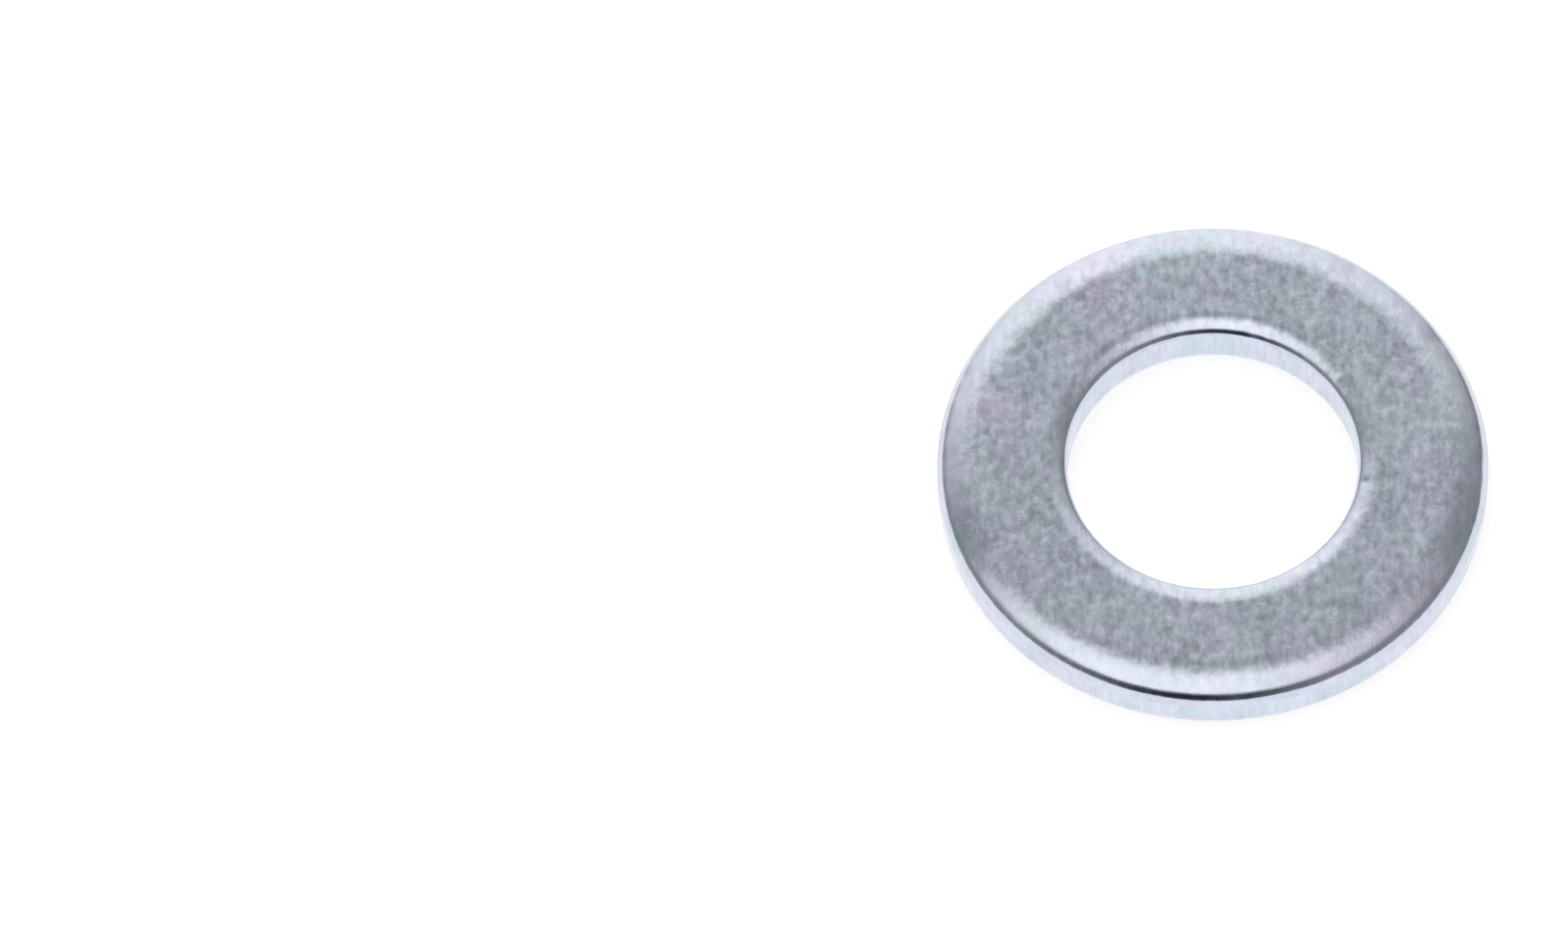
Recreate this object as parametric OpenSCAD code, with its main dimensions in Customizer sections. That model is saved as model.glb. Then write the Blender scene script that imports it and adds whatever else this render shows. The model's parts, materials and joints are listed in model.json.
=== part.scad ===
// Flat washer, metric M10, normal series: one ring stamped from steel strip and zinc plated.
//
// The washer lies on its lower face. The origin is the centre of the hole on that face, and
// +Z points out of the upper face, which is the one that the tool entered.
// Hole and rim are cut in one stroke, so both edges show the same four zones from top to bottom:
//   die roll   the metal drawn down before it shears: a wide shallow arc, then a tight one
//   land       the smooth upright wall that the tool burnished
//   break      the short tapered wall where the metal tore
//   tumbling   the small radius that is left of the burr

/* [Washer] */
// Outside diameter, across the land
outer_d = 19.9; // [18.5:0.1:24]
// Hole diameter, across the land
hole_d = 10.5; // [9:0.1:12]
// Thickness between the two flat faces
thickness = 1.85; // [1.6:0.05:3]

/* [Die roll] */
// Radius of the wide shallow arc at the rim
rim_roll_r = 3.4; // [2:0.1:3.6]
// Radius of the wide shallow arc at the hole
hole_roll_r = 1.8; // [1:0.1:2]
// Sine of the slope that the wide arc reaches before the tight one takes over
roll_sine = 0.352; // [0.2:0.008:0.44]
// Radius of the tight arc that turns the rim's roll into the land
rim_corner_r = 0.55; // [0.3:0.05:0.6]
// Radius of the tight arc that turns the hole's roll into the land
hole_corner_r = 0.35; // [0.3:0.05:0.6]

/* [Lower edge] */
// Height of the torn wall below the land
break_h = 0.34; // [0.2:0.02:0.4]
// How far the torn wall draws back from the land
break_taper = 0.04; // [0.01:0.01:0.08]
// Radius that tumbling leaves on the lower edges
tumble_r = 0.12; // [0.05:0.01:0.15]

/* [Hidden] */
facets = 180;   // segments of a full turn where curves are drawn as facets
over = 1;       // how far a cutter reaches past the metal it trims

// Width and depth of the whole die roll, from its two tangent arcs
roll_cosine = sqrt(1 - pow(roll_sine, 2));
function roll_w(roll_r, corner_r) = roll_r * roll_sine + corner_r * (1 - roll_sine);
function roll_d(roll_r, corner_r) = roll_r * (1 - roll_cosine) + corner_r * roll_cosine;

// Angle inside the metal between the lower face and the torn wall, and how far the
// tumbled arc's two tangent points lie from the corner
break_angle = 90 + atan(break_taper / break_h);
tumble_run = tumble_r / tan(break_angle / 2);

// Each waste outline is drawn for a wall at x = 0 with the metal on its -X side.

// What the die roll takes off the upper corner; y = 0 is the upper face. The tight circle
// touches the wide one from inside, so only the wide one has to stop at their shared point.
module roll_waste(roll_r, corner_r) {
    w = roll_w(roll_r, corner_r);
    d = roll_d(roll_r, corner_r);
    difference() {
        translate([-w, -d]) square([w + over, d + over]);
        intersection() {
            translate([-w, -roll_r]) circle(r = roll_r);
            translate([-w - over, -d - over]) square([over + roll_r * roll_sine, d + over]);
        }
        translate([-corner_r, -d]) circle(r = corner_r);
    }
}

// What the torn wall's taper takes off below the land; y = 0 is the lower face
module break_waste() {
    slope = break_taper / break_h;
    polygon([
        [0, break_h],
        [over, break_h],
        [over, -over],
        [-break_taper - slope * over, -over]
    ]);
}

// What tumbling takes off the lower corner, down to an arc tangent to face and torn wall
module tumble_waste() {
    lean = break_angle - 90;
    difference() {
        polygon([
            [-break_taper - tumble_run, 0],
            [-break_taper - tumble_run, -over],
            [over, -over],
            [-break_taper + tumble_run * sin(lean), tumble_run * cos(lean)],
            [-break_taper - tumble_run, tumble_r]
        ]);
        translate([-break_taper - tumble_run, tumble_r]) circle(r = tumble_r);
    }
}

module edge_waste(roll_r, corner_r) {
    translate([0, thickness]) roll_waste(roll_r, corner_r);
    break_waste();
    tumble_waste();
}

// Half section through the ring: X is the radius and Y the height
module ring_section() {
    difference() {
        translate([hole_d / 2, 0]) square([(outer_d - hole_d) / 2, thickness]);
        translate([outer_d / 2, 0]) edge_waste(rim_roll_r, rim_corner_r);
        translate([hole_d / 2, 0]) mirror([1, 0]) edge_waste(hole_roll_r, hole_corner_r);
    }
}

// The stamped ring
module washer() {
    color([0.66, 0.67, 0.72]) rotate_extrude($fn = facets) ring_section($fn = facets);
}

washer();
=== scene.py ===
# %% [markdown]
# # A zinc-plated flat washer
# A flat washer is one ring, cut from steel strip in a single stroke of a press, then tumbled
# with thousands of others to knock off its burrs, and plated with zinc in a rotating barrel.
# Every step leaves its own marks, and a model that shows them reads as metal instead of grey.
# This lesson builds the ring from its section, marks it as the tumbler would, gives each zone
# its own zinc finish, and lights it as a small product is lit on a white table.
# The part's solid model is finished already. It is loaded first, and all that follows is built
# in its place and at its size, in metres.

# %% Load the fixed frame
import json
import math
import random

import bmesh
import bpy
import numpy as np
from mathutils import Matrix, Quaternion, Vector, noise


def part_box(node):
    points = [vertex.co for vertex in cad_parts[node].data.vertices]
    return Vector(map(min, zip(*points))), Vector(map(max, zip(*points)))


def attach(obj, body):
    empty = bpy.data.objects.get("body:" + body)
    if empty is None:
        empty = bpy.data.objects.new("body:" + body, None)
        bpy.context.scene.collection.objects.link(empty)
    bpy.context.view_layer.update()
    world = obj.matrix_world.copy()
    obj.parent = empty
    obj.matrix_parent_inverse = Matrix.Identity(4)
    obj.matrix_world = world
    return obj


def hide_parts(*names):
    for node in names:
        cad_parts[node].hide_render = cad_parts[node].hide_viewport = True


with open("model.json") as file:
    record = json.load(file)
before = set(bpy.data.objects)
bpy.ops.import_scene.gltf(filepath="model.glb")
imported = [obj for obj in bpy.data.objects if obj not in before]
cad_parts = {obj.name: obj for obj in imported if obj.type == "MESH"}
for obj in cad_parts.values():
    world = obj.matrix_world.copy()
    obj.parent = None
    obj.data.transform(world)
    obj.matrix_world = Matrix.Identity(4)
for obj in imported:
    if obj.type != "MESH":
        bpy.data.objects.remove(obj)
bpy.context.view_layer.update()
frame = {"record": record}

# %% [markdown]
# ## Sizes
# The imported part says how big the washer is, so the sizes are read from it: the outside
# radius and thickness from its box, the hole and its upright wall from the bolt hole's entry.
# The few sizes of the rolled and torn edges that the record doesn't hold are named here.

# %% Read the washer's sizes
MM = 0.001
ring_low, ring_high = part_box("washer")
hole = next(m for m in frame["record"]["mounts"] if m["name"] == "bolt_hole")

rim_r = ring_high.x
hole_r = hole["dims"]["r_mm"] * MM
top_z = ring_high.z
break_z = hole["pos_m"][2] - hole["dims"]["length_mm"] * MM / 2   # where the torn wall starts

rim_roll_r, rim_corner_r = 3.4 * MM, 0.55 * MM
hole_roll_r, hole_corner_r = 1.8 * MM, 0.35 * MM
roll_slope = math.asin(0.352)     # where the wide arc gives way to the tight one
break_taper = 0.04 * MM           # how far the torn wall draws back from the land
tumble_r = 0.12 * MM
print(f"rim radius {rim_r / MM:.2f}, hole radius {hole_r / MM:.2f}, thickness {top_z / MM:.2f} mm")

# %% [markdown]
# ## The edge of a stamped ring
# Seen from the side, a stamped edge has four zones. The tool first draws the metal down into a
# shiny rounded shoulder, the die roll. Then it burnishes an upright wall, the land. Below that
# the metal tears, and last the tumbler rounds what is left of the burr.
# A spline could be traced through these zones, but arcs and straight lines are what the tool
# makes, so the outline is worked out from them. Each point is kept as a distance into the
# metal, a height, and the zone that it starts.

# %% Outline of one edge, from the upper face to the lower one
ROLL_STEPS, CORNER_STEPS, LAND_STEPS, TORN_STEPS, TUMBLE_STEPS = 14, 16, 10, 6, 6


def arc(centre_in, centre_z, radius, start, end, steps, zone):
    """Points at angles from straight up, turning towards the wall."""
    turns = np.linspace(start, end, steps, endpoint=False)
    return [(centre_in - radius * math.sin(t), centre_z + radius * math.cos(t), zone) for t in turns]


def line(start, end, steps, zone):
    """Points from the start up to the end, which the next zone begins."""
    shares = np.linspace(0, 1, steps, endpoint=False)
    return [(*(np.array(start) * (1 - s) + np.array(end) * s), zone) for s in shares]


def stamped_edge(roll_r, corner_r):
    land_top = top_z - roll_r * (1 - math.cos(roll_slope)) - corner_r * math.cos(roll_slope)
    roll_in = roll_r * math.sin(roll_slope) + corner_r * (1 - math.sin(roll_slope))
    lean = math.atan(break_taper / break_z)
    run = tumble_r / math.tan((math.pi / 2 + lean) / 2)
    foot_in = break_taper + run
    torn_end = (break_taper - run * math.sin(lean), run * math.cos(lean))
    return (
        arc(roll_in, top_z - roll_r, roll_r, 0, roll_slope, ROLL_STEPS, "roll")
        + arc(corner_r, land_top, corner_r, roll_slope, math.pi / 2, CORNER_STEPS, "roll")
        + line((0, land_top), (0, break_z), LAND_STEPS, "land")
        + line((0, break_z), torn_end, TORN_STEPS, "torn")
        + arc(foot_in, tumble_r, tumble_r, math.pi / 2 + lean, math.pi, TUMBLE_STEPS, "torn")
        + [(foot_in, 0, "under")]
    )


rim_edge = [(rim_r - d, z, zone) for d, z, zone in stamped_edge(rim_roll_r, rim_corner_r)]
hole_edge = [(hole_r + d, z, zone) for d, z, zone in stamped_edge(hole_roll_r, hole_corner_r)]
print(f"upper flat from radius {hole_edge[0][0] / MM:.2f} to {rim_edge[0][0] / MM:.2f} mm")

# %% [markdown]
# The whole section is the rim's edge, the lower face, the hole's edge taken backwards, and the
# upper face. A zone belongs to the strip between a point and the next, so the hole's zones
# move along by one when its points are reversed.

# %% The closed section
UPPER_STEPS, UNDER_STEPS = 28, 24


def closed_section():
    (rim_foot, _, _), (hole_foot, _, _) = rim_edge[-1], hole_edge[-1]
    under = line((rim_foot, 0), (hole_foot, 0), UNDER_STEPS, "under")
    back = [(*hole_edge[i][:2], hole_edge[i - 1][2]) for i in range(len(hole_edge) - 1, 0, -1)]
    upper = line(hole_edge[0][:2], rim_edge[0][:2], UPPER_STEPS, "face")
    return rim_edge[:-1] + under + back + upper


section = closed_section()
print(len(section), "points round the section")

# %% [markdown]
# ## Turning the section
# A Screw modifier would sweep the section round Z, but the marks that come next have to know
# each point's angle, zone and direction, so the ring is swept here into arrays, and so are the
# directions that point out of the metal. The turns are close enough together to hold dimples a
# third of a millimetre wide.

# %% Sweep the section into arrays
TURNS = 600


def section_normals(profile):
    """Unit normals of the section, pointing out of the metal."""
    before, after = np.roll(profile, 1, axis=0), np.roll(profile, -1, axis=0)
    along = after - before
    out = np.stack([-along[:, 1], along[:, 0]], axis=1)
    return out / np.linalg.norm(out, axis=1)[:, None]


def swept(profile):
    """Turns pairs of radius and height round Z, with one row for each angle."""
    angles = np.arange(TURNS)[:, None] * 2 * math.pi / TURNS
    height = np.broadcast_to(profile[:, 1], (TURNS, len(profile)))
    return np.stack([profile[:, 0] * np.cos(angles), profile[:, 0] * np.sin(angles), height], axis=2)


outline = np.array([(r, z) for r, z, _ in section])
zones = [zone for _, _, zone in section]
points = swept(outline)
outward = swept(section_normals(outline))
print(points.shape[0] * points.shape[1], "points on the ring")

# %% [markdown]
# ## Marks of the press and the tumbler
# Every mark takes metal away or pushes it in, so each one is a depth below the true surface and
# the ring never grows past its real size. Displacing real points, and not only shading them,
# lets the marks bend the reflections and show on the outline.
# - Waviness: the rolled shoulder sinks a little more in some places than in others.
# - Dimples: tumbling peens the whole skin.
# - Score lines: tool wear drags fine upright lines down the land.
# - Tearing: the broken wall is coarse and streaky.
# Each mark has a greatest depth and a feature size. Shrinking the heights that a noise is read
# at draws its features out into upright streaks.

# %% Depths that cover a whole zone
WAVE_DEPTH, WAVE_SIZE = 0.035 * MM, 5 * MM
FINE_DIMPLE_DEPTH, FINE_DIMPLE_SIZE = 0.006 * MM, 0.34 * MM
BROAD_DIMPLE_DEPTH, BROAD_DIMPLE_SIZE = 0.010 * MM, 1.5 * MM
SCORE_DEPTH, SCORE_SIZE, SCORE_STREAK = 0.004 * MM, 0.12 * MM, 0.1
TEAR_DEPTH, TEAR_SIZE, TEAR_STREAK = 0.022 * MM, 0.16 * MM, 0.35
WAVE_FADE = 0.5 * MM     # how far below the upper face the waviness is at its full depth


def noise_field(where, size, seed):
    """Smooth noise from 0 to 1 with features about `size` wide."""
    shift = Vector((seed * 7.31, seed * 3.17, seed * 5.53))
    flat = where.reshape(-1, 3) / size
    values = [noise.noise(Vector(p) + shift) for p in flat]
    return 0.5 + 0.5 * np.array(values).reshape(where.shape[:-1])


def zone_mask(*names):
    """1 at the points of the named zones, and 0 elsewhere."""
    return np.array([zone in names for zone in zones], float)[None, :]


def squashed(height_share):
    """The ring's points, with their heights scaled to this share."""
    return points * np.array([1, 1, height_share])


def drawn_down(full_depth):
    """From 0 on the upper face to 1 at this depth below it."""
    return np.clip((top_z - outline[:, 1]) / full_depth, 0, 1)[None, :]


peened = zone_mask("face", "roll", "under")
waviness = WAVE_DEPTH * noise_field(squashed(0), WAVE_SIZE, 1)
waviness = waviness * drawn_down(WAVE_FADE) * zone_mask("roll")
dimples = FINE_DIMPLE_DEPTH * noise_field(points, FINE_DIMPLE_SIZE, 2) * peened
dimples += BROAD_DIMPLE_DEPTH * noise_field(points, BROAD_DIMPLE_SIZE, 3) * peened
scores = SCORE_DEPTH * noise_field(squashed(SCORE_STREAK), SCORE_SIZE, 4) * zone_mask("land")
tears = TEAR_DEPTH * noise_field(squashed(TEAR_STREAK), TEAR_SIZE, 5) * zone_mask("torn")
depth = waviness + dimples + scores + tears
print(f"deepest so far: {depth.max() / MM:.3f} mm")

# %% [markdown]
# Washers also knock into each other. Most knocks land on the shoulders, because these stand
# out, and a few on the flat. Each one is a small round dent at a random place.

# %% Knocks
KNOCK_SQUASH = np.array([1, 1, 0.6])     # a knock on an edge reaches further down than across
knocks = random.Random(11)


def knock_centres(count, low_r, high_r):
    for _ in range(count):
        turn = knocks.uniform(0, 2 * math.pi)
        r = knocks.uniform(low_r, high_r)
        yield np.array([r * math.cos(turn), r * math.sin(turn), top_z])


def add_knocks(count, low_r, high_r, widths, depths):
    """Widths and depths are ranges in millimetres."""
    for centre in knock_centres(count, low_r, high_r):
        width = knocks.uniform(*widths) * MM
        reach = np.linalg.norm((points - centre) * KNOCK_SQUASH, axis=2) / width
        depth[:] += knocks.uniform(*depths) * MM * np.exp(-reach ** 2)


add_knocks(count=16, low_r=rim_r - 0.5 * MM, high_r=rim_r,
           widths=(0.15, 0.4), depths=(0.01, 0.04))
add_knocks(count=8, low_r=hole_r, high_r=hole_r + 0.4 * MM,
           widths=(0.12, 0.3), depths=(0.008, 0.03))
add_knocks(count=26, low_r=hole_r + 1 * MM, high_r=rim_r - 1 * MM,
           widths=(0.08, 0.22), depths=(0.004, 0.012))
surface = points - outward * depth[:, :, None]
print(f"deepest knock: {depth.max() / MM:.3f} mm")

# %% [markdown]
# ## The mesh
# The arrays become quads, ring by ring. Each quad takes the finish of its zone, and each point
# keeps how far it was burnished by the tool, which the finishes read to go smoothly from the
# matt flat to the bright land.

# %% Build the ring
BURNISH_DEPTH = 0.16 * MM     # how far below the upper face the skin is fully burnished
FINISHES = ["zinc_satin", "zinc_burnished", "zinc_torn"]
finish_of = {"face": 0, "under": 0, "roll": 0, "land": 1, "torn": 2}


def build_ring():
    mesh = bpy.data.meshes.new("zinc_washer")
    bm = bmesh.new()
    rows = [[bm.verts.new(p) for p in row] for row in surface]
    count = len(outline)
    for i, row in enumerate(rows):
        beside = rows[(i + 1) % TURNS]
        for j in range(count):
            k = (j + 1) % count
            quad = bm.faces.new((row[j], row[k], beside[k], beside[j]))
            quad.material_index = finish_of[zones[j]]
            quad.smooth = True
    bmesh.ops.recalc_face_normals(bm, faces=bm.faces)
    bm.to_mesh(mesh)
    bm.free()
    return mesh


ring_mesh = build_ring()
burnish = np.broadcast_to(drawn_down(BURNISH_DEPTH) * (1 - zone_mask("under")), (TURNS, len(outline)))
ring_mesh.attributes.new("burnish", "FLOAT", "POINT").data.foreach_set(
    "value", burnish.astype(np.float32).ravel())
washer = bpy.data.objects.new("zinc_washer", ring_mesh)
bpy.context.scene.collection.objects.link(washer)
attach(washer, "root")
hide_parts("washer")
print(len(ring_mesh.polygons), "quads")

# %% [markdown]
# ## Small helpers for shader nodes
# Nodes can be placed by hand in the shader editor, but a script that sets each one out in full
# is hard to read. These helpers each place one node and return the socket that it puts out.
# A node group is made once and placed in every finish that needs it. Its inputs and outputs
# are sockets on the group's interface.

# %% Node helpers
def node(tree, kind, **settings):
    made = tree.nodes.new(kind)
    for name, value in settings.items():
        setattr(made, name, value)
    return made


def plug(tree, source, target):
    """Feeds a target socket from a socket or from a plain value."""
    if isinstance(source, bpy.types.NodeSocket):
        tree.links.new(source, target)
    else:
        target.default_value = source


def maths(tree, operation, *values):
    made = node(tree, "ShaderNodeMath", operation=operation)
    for value, socket in zip(values, made.inputs):
        plug(tree, value, socket)
    return made.outputs[0]


def rescale(tree, value, from_low, from_high, to_low, to_high, shape="LINEAR"):
    made = node(tree, "ShaderNodeMapRange", interpolation_type=shape)
    for given, name in zip((value, from_low, from_high, to_low, to_high),
                           ("Value", "From Min", "From Max", "To Min", "To Max")):
        plug(tree, given, made.inputs[name])
    return made.outputs["Result"]


def vary(tree, mask, strength, base):
    """The base value plus strength times how far a mask is from its middle."""
    return maths(tree, "MULTIPLY_ADD", maths(tree, "SUBTRACT", mask, 0.5), strength, base)


def noise_node(tree, position, scale, detail):
    made = node(tree, "ShaderNodeTexNoise", noise_dimensions="3D")
    plug(tree, position, made.inputs["Vector"])
    plug(tree, scale, made.inputs["Scale"])
    plug(tree, detail, made.inputs["Detail"])
    return made.outputs["Fac"]


def stretch(tree, position, factors):
    """Scales a position, so that what is drawn from it stretches where a factor is small."""
    made = node(tree, "ShaderNodeVectorMath", operation="MULTIPLY")
    plug(tree, position, made.inputs[0])
    plug(tree, factors, made.inputs[1])
    return made.outputs["Vector"]


def mix_colours(tree, share, first, second):
    made = node(tree, "ShaderNodeMix", data_type="RGBA")
    plug(tree, share, made.inputs["Factor"])
    plug(tree, first, made.inputs[6])      # the colour sockets A and B, which share their
    plug(tree, second, made.inputs[7])     # names with the node's sockets for numbers
    return made.outputs[2]


def new_group(name, inputs, outputs):
    """A group from {name: (socket type, default)} inputs and {name: socket type} outputs."""
    tree = bpy.data.node_groups.new(name, "ShaderNodeTree")
    for label, (kind, default) in inputs.items():
        socket = tree.interface.new_socket(label, in_out="INPUT", socket_type=kind)
        if default is not None:
            socket.default_value = default
    for label, kind in outputs.items():
        tree.interface.new_socket(label, in_out="OUTPUT", socket_type=kind)
    return tree, node(tree, "NodeGroupInput").outputs, node(tree, "NodeGroupOutput").inputs


VECTOR, NUMBER, COLOUR = "NodeSocketVector", "NodeSocketFloat", "NodeSocketColor"


# %% [markdown]
# ## Zinc grain
# Barrel zinc goes down as fine crystals over a peened skin, so a washer's flat looks mottled:
# soft light and dark patches a third of a millimetre wide, with finer speckle inside them, and
# wide faint clouds over both. A Voronoi texture would give hard-edged spangle, as on hot-dipped
# sheet. Noises of three sizes give the soft mottle of electroplating.

# %% Group: zinc grain
CLOUD_SIZE = 1.6 * MM
SPECKLE_FINENESS = 2.7             # how many speckles fit across a patch
GRAIN_LOW, GRAIN_HIGH = 0.2, 0.8   # where nearly all values of the mixed noises lie
CLOUD_LOW, CLOUD_HIGH = 0.3, 0.7


def make_zinc_grain():
    tree, given, out = new_group(
        "zinc_grain",
        {"Position": (VECTOR, None), "Patch size": (NUMBER, 0.2 * MM), "Speckle": (NUMBER, 0.4)},
        {"Mottle": NUMBER, "Cloud": NUMBER, "Height": NUMBER})
    scale = maths(tree, "DIVIDE", 1.0, given["Patch size"])
    patches = noise_node(tree, given["Position"], scale, detail=1.5)
    finer = maths(tree, "MULTIPLY", scale, SPECKLE_FINENESS)
    speckle = noise_node(tree, given["Position"], finer, detail=1.0)
    clouds = noise_node(tree, given["Position"], 1 / CLOUD_SIZE, detail=2.0)
    both = vary(tree, speckle, given["Speckle"], patches)
    plug(tree, rescale(tree, both, GRAIN_LOW, GRAIN_HIGH, 0.0, 1.0), out["Mottle"])
    soft_clouds = rescale(tree, clouds, CLOUD_LOW, CLOUD_HIGH, 0.0, 1.0, "SMOOTHSTEP")
    plug(tree, soft_clouds, out["Cloud"])
    plug(tree, both, out["Height"])
    return tree


zinc_grain = make_zinc_grain()
print("group:", zinc_grain.name)

# %% [markdown]
# ## Strip streaks
# The strip was rolled to thickness before it was stamped, and the rolls leave faint parallel
# streaks across every washer, all in one direction. A noise squeezed along the strip's length
# draws them. The position is scaled down along Y, so that features stretch out that way. Given
# a position with Y and Z swapped, the same group draws the upright lines of a punched wall.

# %% Group: strip streaks
def make_strip_streaks():
    tree, given, out = new_group(
        "strip_streaks",
        {"Position": (VECTOR, None), "Spacing": (NUMBER, 0.15 * MM), "Stretch": (NUMBER, 10.0)},
        {"Streak": NUMBER})
    squeeze = node(tree, "ShaderNodeCombineXYZ")
    plug(tree, 1.0, squeeze.inputs["X"])
    plug(tree, maths(tree, "DIVIDE", 1.0, given["Stretch"]), squeeze.inputs["Y"])
    plug(tree, 1.0, squeeze.inputs["Z"])
    position = stretch(tree, given["Position"], squeeze.outputs["Vector"])
    scale = maths(tree, "DIVIDE", 1.0, given["Spacing"])
    plug(tree, noise_node(tree, position, scale, detail=2.0), out["Streak"])
    return tree


strip_streaks = make_strip_streaks()
print("group:", strip_streaks.name)

# %% [markdown]
# ## Passivate tint
# After plating, a clear blue passivate is left on the zinc. It is a film thinner than light's
# wavelength, so its colour drifts with thickness: mostly a cool grey, in places faintly violet
# and in places faintly green. Two slow noises pick between the three colours.

# %% Group: passivate tint
VIOLET_SIZE, GREEN_SIZE = 3.5 * MM, 2.5 * MM
DRIFT_LOW, DRIFT_HIGH = 0.42, 0.62     # the noise's values where a colour starts and is full


def make_passivate_tint():
    tree, given, out = new_group(
        "passivate_tint",
        {"Position": (VECTOR, None), "Zinc": (COLOUR, (0.64, 0.685, 0.80, 1)),
         "Violet": (COLOUR, (0.685, 0.67, 0.81, 1)), "Green": (COLOUR, (0.58, 0.69, 0.74, 1)),
         "Amount": (NUMBER, 0.7)},
        {"Colour": COLOUR})

    def drift(size, shift):
        """Smooth patches of a colour; the shift keeps the two colours' patches apart."""
        moved = node(tree, "ShaderNodeVectorMath", operation="ADD")
        plug(tree, given["Position"], moved.inputs[0])
        plug(tree, (shift, shift, shift), moved.inputs[1])
        slow = noise_node(tree, moved.outputs["Vector"], 1 / size, detail=4.0)
        return rescale(tree, slow, DRIFT_LOW, DRIFT_HIGH, 0.0, given["Amount"], "SMOOTHSTEP")

    tinted = mix_colours(tree, drift(VIOLET_SIZE, 0.1), given["Zinc"], given["Violet"])
    tinted = mix_colours(tree, drift(GREEN_SIZE, 0.3), tinted, given["Green"])
    plug(tree, tinted, out["Colour"])
    return tree


passivate_tint = make_passivate_tint()
print("group:", passivate_tint.name)

# %% [markdown]
# ## Tumble scratches
# Sharp edges of other washers drag short fine scratches in every direction. One stretched
# noise, cut off high so that only its ridges are left, gives scratches in one direction, so
# the group lays three of them at different turns over each other.

# %% Group: tumble scratches
SCRATCH_TURNS = (0.4, 1.5, 2.6)          # radians
SCRATCH_STRETCH = (1.0, 0.06, 1.0)
FEWEST_CUT, MOST_CUT = 0.78, 0.5         # what a ridge has to pass at Cover 0 and at Cover 1
SCRATCH_EDGE = 0.08                      # how far above the cut a scratch is at its full depth


def make_tumble_scratches():
    tree, given, out = new_group(
        "tumble_scratches",
        {"Position": (VECTOR, None), "Width": (NUMBER, 0.05 * MM), "Cover": (NUMBER, 0.3)},
        {"Scratch": NUMBER})
    cut = rescale(tree, given["Cover"], 0.0, 1.0, FEWEST_CUT, MOST_CUT)
    total = 0.0
    for turn in SCRATCH_TURNS:
        turned = node(tree, "ShaderNodeVectorRotate", rotation_type="Z_AXIS")
        plug(tree, given["Position"], turned.inputs["Vector"])
        plug(tree, turn, turned.inputs["Angle"])
        squeezed = stretch(tree, turned.outputs["Vector"], SCRATCH_STRETCH)
        ridge = noise_node(tree, squeezed, maths(tree, "DIVIDE", 1.0, given["Width"]), detail=0.0)
        above = maths(tree, "SUBTRACT", ridge, cut)
        total = maths(tree, "ADD", total, rescale(tree, above, 0.0, SCRATCH_EDGE, 0.0, 1.0))
    plug(tree, maths(tree, "MINIMUM", total, 1.0), out["Scratch"])
    return tree


tumble_scratches = make_tumble_scratches()
print("group:", tumble_scratches.name)

# %% [markdown]
# ## The zinc finishes
# All three finishes are the same metal with different skins, so one function wires them and
# their numbers differ. The colour is the tint, made lighter and darker by grain, clouds and
# streaks, and scaled by a lift that is painted light on the two walls. The roughness follows
# grain, scratches and how burnished the place is. The Bump node turns the same grain into relief
# that is too fine for the mesh. What is the same all over, such as Metallic, is set on the
# Principled BSDF itself.

# %% Wire one zinc finish
GRAIN_STRETCH = (1.0, 0.56, 1.0)      # rolling the strip drew its skin out along Y
BURNISHED_GRAIN = 0.4                 # share of the grain that is left where the tool rubbed
BURNISHED_ROUGHNESS = 0.75            # share of the roughness that is left there
CLOUD_SHADE, CLOUD_SWING = 0.08, 0.5  # the clouds' effect on colour, and share of the swing
SCRATCH_ROUGHNESS, SCRATCH_HEIGHT = 0.03, -0.1


def place(tree, group, **values):
    """Places a node group; an underscore in a value's name stands for a space."""
    made = node(tree, "ShaderNodeGroup", node_tree=group)
    for name, value in values.items():
        plug(tree, value, made.inputs[name.replace("_", " ")])
    return made.outputs


def upright(tree, position):
    """Swaps Y and Z, so that streaks drawn along Y stand up on a wall."""
    parts = node(tree, "ShaderNodeSeparateXYZ")
    plug(tree, position, parts.inputs[0])
    made = node(tree, "ShaderNodeCombineXYZ")
    for target, source in (("X", "X"), ("Y", "Z"), ("Z", "Y")):
        plug(tree, parts.outputs[source], made.inputs[target])
    return made.outputs["Vector"]


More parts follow.
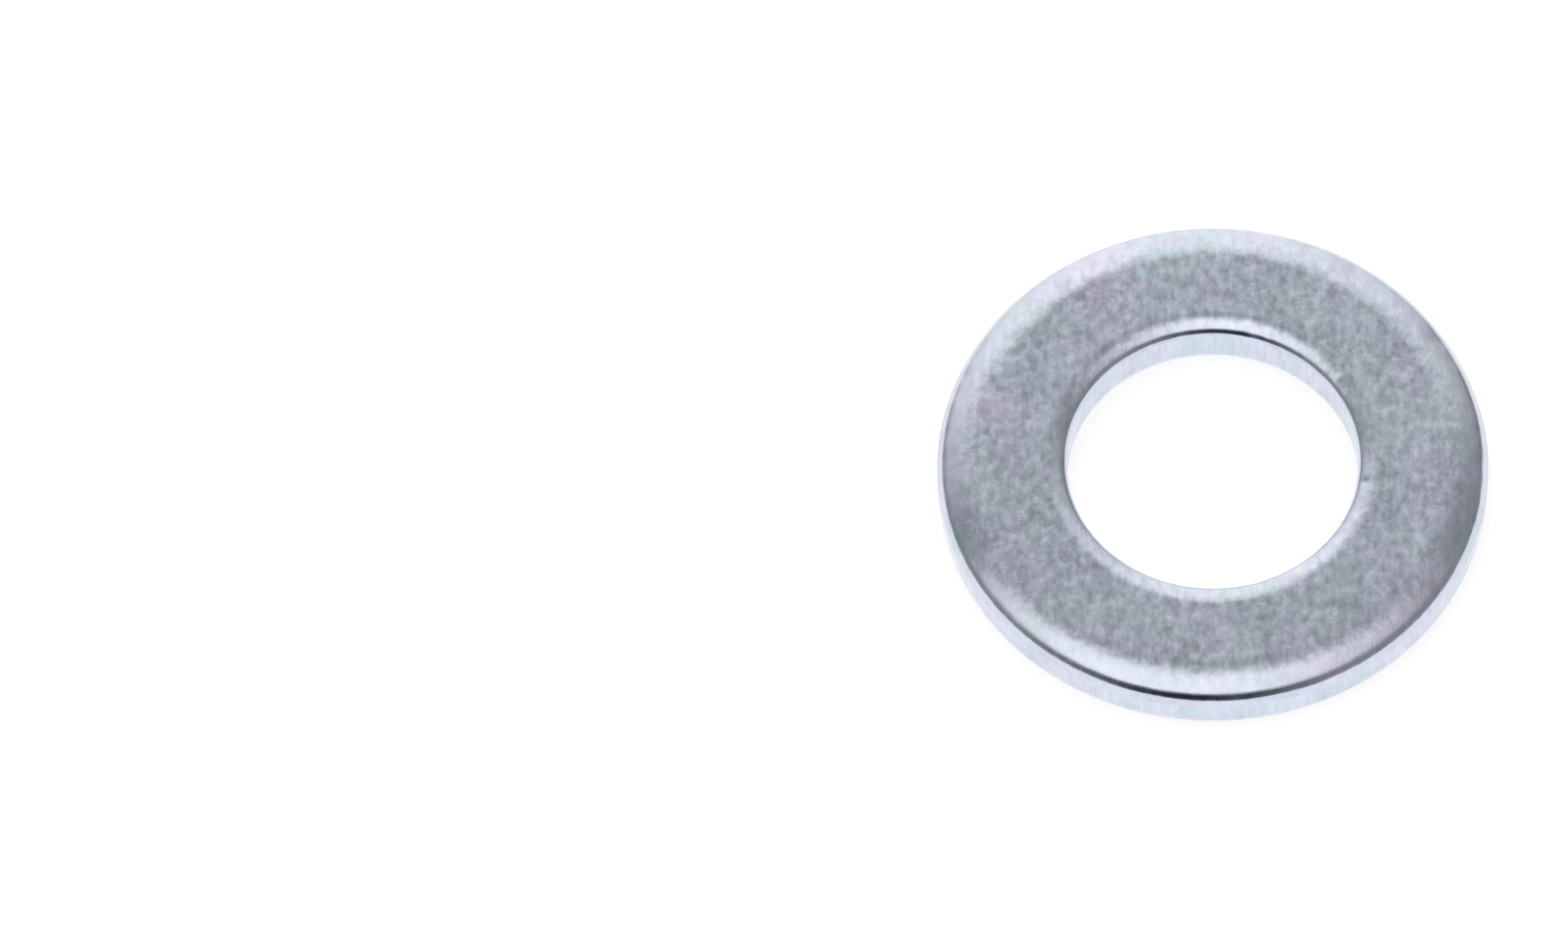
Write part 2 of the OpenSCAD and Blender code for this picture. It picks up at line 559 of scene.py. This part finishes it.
def zinc_finish(name, wall, patch, speckle, rough, relief, streak, scratch, shade, painted_light_lift):
    """Wires one skin of the zinc.

    patch and relief are lengths, and rough is the roughness's middle and swing. speckle, streak,
    scratch and shade say how strongly those marks show, and the last argument scales the tint:
    above 1 it is painted light, which lightens a wall.
    """
    material = bpy.data.materials.new(name)
    material.use_nodes = True
    tree = material.node_tree
    shader = tree.nodes["Principled BSDF"]
    shader.inputs["Metallic"].default_value = 1.0
    where = node(tree, "ShaderNodeTexCoord").outputs["Object"]
    if wall:
        where = upright(tree, where)
    worn = node(tree, "ShaderNodeAttribute", attribute_name="burnish").outputs["Fac"]

    grain = place(tree, zinc_grain, Position=stretch(tree, where, GRAIN_STRETCH),
                  Patch_size=patch, Speckle=speckle)
    streaks = place(tree, strip_streaks, Position=where)
    scratches = place(tree, tumble_scratches, Position=where, Cover=scratch)
    tint = place(tree, passivate_tint, Position=where)

    quiet = 1.0
    if not wall:
        quiet = rescale(tree, worn, 0.0, 1.0, 1.0, BURNISHED_GRAIN)
    # The tint's scale, above 1 on the land and the torn wall, is painted light that lightens the
    # walls.
    light = vary(tree, grain["Mottle"], maths(tree, "MULTIPLY", quiet, shade), painted_light_lift)
    light = vary(tree, grain["Cloud"], CLOUD_SHADE, light)
    light = vary(tree, streaks["Streak"], maths(tree, "MULTIPLY", quiet, streak), light)
    colour = node(tree, "ShaderNodeVectorMath", operation="SCALE")
    plug(tree, tint["Colour"], colour.inputs["Vector"])
    plug(tree, light, colour.inputs["Scale"])
    plug(tree, colour.outputs["Vector"], shader.inputs["Base Color"])

    middle, swing = rough
    skin = vary(tree, grain["Mottle"], swing, middle)
    skin = vary(tree, grain["Cloud"], CLOUD_SWING * swing, skin)
    skin = maths(tree, "MULTIPLY", skin, rescale(tree, worn, 0.0, 1.0, 1.0, BURNISHED_ROUGHNESS))
    skin = maths(tree, "MULTIPLY_ADD", scratches["Scratch"], SCRATCH_ROUGHNESS, skin)
    plug(tree, skin, shader.inputs["Roughness"])

    height = maths(tree, "MULTIPLY", grain["Height"], quiet)
    height = maths(tree, "MULTIPLY_ADD", streaks["Streak"], streak, height)
    height = maths(tree, "MULTIPLY_ADD", scratches["Scratch"], SCRATCH_HEIGHT, height)
    bump = node(tree, "ShaderNodeBump")
    plug(tree, 1.0, bump.inputs["Strength"])
    plug(tree, relief, bump.inputs["Distance"])
    plug(tree, height, bump.inputs["Height"])
    plug(tree, bump.outputs["Normal"], shader.inputs["Normal"])
    return material


# %% [markdown]
# ## Three skins of the same zinc
# The flat and the shoulders are satin, with soft mottle. The land under the tool is finely
# streaked, and its colour is lifted a little above the zinc's own as painted light. The torn wall
# is coarse and rougher, and catches the table's white; its colour is lifted further as painted
# light, so that the wall stays pale where it mirrors the shade at its foot.

# %% The three finishes
# Each skin's last number scales its tint. Above 1, on the land and the torn wall, it is painted
# light: it lightens the shade that the walls mirror from the table at their foot, and lets the torn
# foot fade into the white.
SKINS = {
    "zinc_satin": dict(
        wall=False, patch=0.3 * MM, speckle=0.35, rough=(0.25, 0.08), relief=0.012 * MM,
        streak=0.25, scratch=0.1, shade=0.44, painted_light_lift=1.0),
    "zinc_burnished": dict(
        wall=True, patch=0.3 * MM, speckle=0.3, rough=(0.26, 0.1), relief=0.006 * MM,
        streak=0.35, scratch=0.1, shade=0.1, painted_light_lift=1.04),
    "zinc_torn": dict(
        wall=True, patch=0.08 * MM, speckle=0.6, rough=(0.42, 0.15), relief=0.02 * MM,
        streak=0.4, scratch=0.1, shade=0.35, painted_light_lift=1.12),
}
for name in FINISHES:
    ring_mesh.materials.append(zinc_finish(name, **SKINS[name]))
print("finishes:", ", ".join(FINISHES))

# %% [markdown]
# ## The table
# Small shiny parts are shot on a pale, evenly lit table that runs out of sight. A wide plane
# is enough, because the lens is long and sees only a few centimetres of it. Most of the table's
# white is its own glow, as on a backlit one, which keeps the shadow round the ring faint.

# %% White table
TABLE_HALF = 2.0     # metres
TABLE_GREY, TABLE_GLOW = 0.36, 0.74


def white_table():
    mesh = bpy.data.meshes.new("table")
    bm = bmesh.new()
    bmesh.ops.create_grid(bm, x_segments=1, y_segments=1, size=TABLE_HALF)
    bm.to_mesh(mesh)
    bm.free()
    table = bpy.data.objects.new("table", mesh)
    table.location.z = ring_low.z
    bpy.context.scene.collection.objects.link(table)
    material = bpy.data.materials.new("table_white")
    material.use_nodes = True
    shader = material.node_tree.nodes["Principled BSDF"]
    shader.inputs["Base Color"].default_value = (TABLE_GREY, TABLE_GREY, TABLE_GREY, 1)
    shader.inputs["Roughness"].default_value = 0.9
    shader.inputs["Specular IOR Level"].default_value = 0.0
    shader.inputs["Emission Color"].default_value = (1, 1, 1, 1)
    shader.inputs["Emission Strength"].default_value = TABLE_GLOW
    mesh.materials.append(material)
    return table


table = white_table()
print("table at z =", table.location.z)

# %% [markdown]
# ## The studio
# A washer is a curved mirror, so what it reflects matters more than how much light falls on
# it. The studio is an arch over the table: a dark room behind the camera, a large soft light
# overhead, a dim gap, and a white sweep at the back. The flat face mirrors the gap and looks
# grey. The shoulders lean to either side of it and catch the bright areas as pale bands, and
# the dark room draws the thin dark line where a shoulder turns down into a wall.
# Area lights could form such an arch, but a ramp in the world shader puts each edge exactly
# where it is wanted. It runs over the angle from the camera's side (0), straight up (0.5), to
# the back (1), and fades to an even grey towards the left and right.

# %% The arch of light
ARCH = [     # angle and brightness
    (0.00, 0.03), (0.23, 0.03), (0.29, 0.25), (0.34, 0.9), (0.39, 1.25), (0.53, 1.25),
    (0.57, 0.8), (0.595, 0.35), (0.662, 0.35), (0.695, 0.75), (0.735, 1.12), (1.0, 1.2)]
COOL = 0.01                        # a little red is swapped for blue, which shows in the dark
WARMTH = 0.03                      # how much warmer the bright areas are
SIDE_GREY = 0.30
SIDE_SHIFT = 0.12                  # the arch stands a little off the middle
SIDE_START, SIDE_END = 0.12, 0.85  # how far sideways the grey begins, and is full


def arch_world():
    world = bpy.data.worlds.new("studio")
    bpy.context.scene.world = world
    world.use_nodes = True
    tree = world.node_tree
    background = tree.nodes["Background"]
    towards = node(tree, "ShaderNodeSeparateXYZ")
    plug(tree, node(tree, "ShaderNodeTexCoord").outputs["Generated"], towards.inputs[0])
    x, y, z = towards.outputs
    to_camera_side = maths(tree, "MULTIPLY", y, -1.0)
    turn = maths(tree, "DIVIDE", maths(tree, "ARCTAN2", z, to_camera_side), math.pi)
    ramp = node(tree, "ShaderNodeValToRGB")
    plug(tree, turn, ramp.inputs["Fac"])
    stops = ramp.color_ramp.elements
    while len(stops) < len(ARCH):
        stops.new(0.5)
    for stop, (angle, value) in zip(stops, ARCH):
        stop.position = angle
        warm = 1 + WARMTH * (value - SIDE_GREY)
        stop.color = (value * warm - COOL, value - 0.5 * COOL, value / warm + COOL, 1)
    off_middle = maths(tree, "ABSOLUTE", maths(tree, "ADD", x, SIDE_SHIFT))
    sideways = rescale(tree, off_middle, SIDE_START, SIDE_END, 0.0, 1.0, "SMOOTHSTEP")
    arch = mix_colours(tree, sideways, ramp.outputs["Color"], (SIDE_GREY, SIDE_GREY, SIDE_GREY, 1))
    to_camera = node(tree, "ShaderNodeLightPath").outputs["Is Camera Ray"]
    seen = mix_colours(tree, to_camera, arch, (1, 1, 1, 1))     # the backdrop itself is white
    plug(tree, seen, background.inputs["Color"])
    background.inputs["Strength"].default_value = 1.0


arch_world()
print(len(ARCH), "stops on the arch")

# %% [markdown]
# A wide lamp straight above brings the table up to white. It is left out of glossy
# reflections, so that it lights the table without printing a spot on the metal.

# %% Table lamp
LAMP_POWER = 1.0
LAMP_SPREAD = math.radians(70)


def table_lamp():
    light = bpy.data.lights.new("table_lamp", "SUN")
    light.energy = LAMP_POWER
    light.angle = LAMP_SPREAD
    lamp = bpy.data.objects.new("table_lamp", light)
    lamp.visible_glossy = False
    bpy.context.scene.collection.objects.link(lamp)
    return lamp


print("lamp:", table_lamp().name)

# %% [markdown]
# ## The camera
# A long lens from well back keeps the near and far edges almost the same size. The view drops
# 60 degrees onto the ring. The camera is aimed at it, then panned so that the ring stands right
# of the middle.

# %% Camera
LENS, SENSOR = 320.0, 36.0                         # millimetres, as on a camera
DISTANCE = 0.505
ELEVATION = math.radians(60.2)
RING_RIGHT, RING_BELOW = 15.53 * MM, 0.41 * MM     # where the ring stands from the middle


def aim_camera():
    data = bpy.data.cameras.new("camera")
    data.lens, data.sensor_width = LENS, SENSOR
    data.clip_start, data.clip_end = 0.01, 10
    camera = bpy.data.objects.new("camera", data)
    camera.location = DISTANCE * Vector((0, -math.cos(ELEVATION), math.sin(ELEVATION)))
    at_ring = (-camera.location).to_track_quat("-Z", "Y")
    pan = Quaternion((0, 1, 0), math.atan(RING_RIGHT / DISTANCE))
    tilt = Quaternion((1, 0, 0), math.atan(RING_BELOW / DISTANCE))
    camera.rotation_mode = "QUATERNION"
    camera.rotation_quaternion = at_ring @ pan @ tilt
    bpy.context.scene.collection.objects.link(camera)
    bpy.context.scene.camera = camera
    return camera


camera = aim_camera()
bpy.context.scene.view_settings.view_transform = "Standard"
print("camera at", [round(v, 3) for v in camera.location])
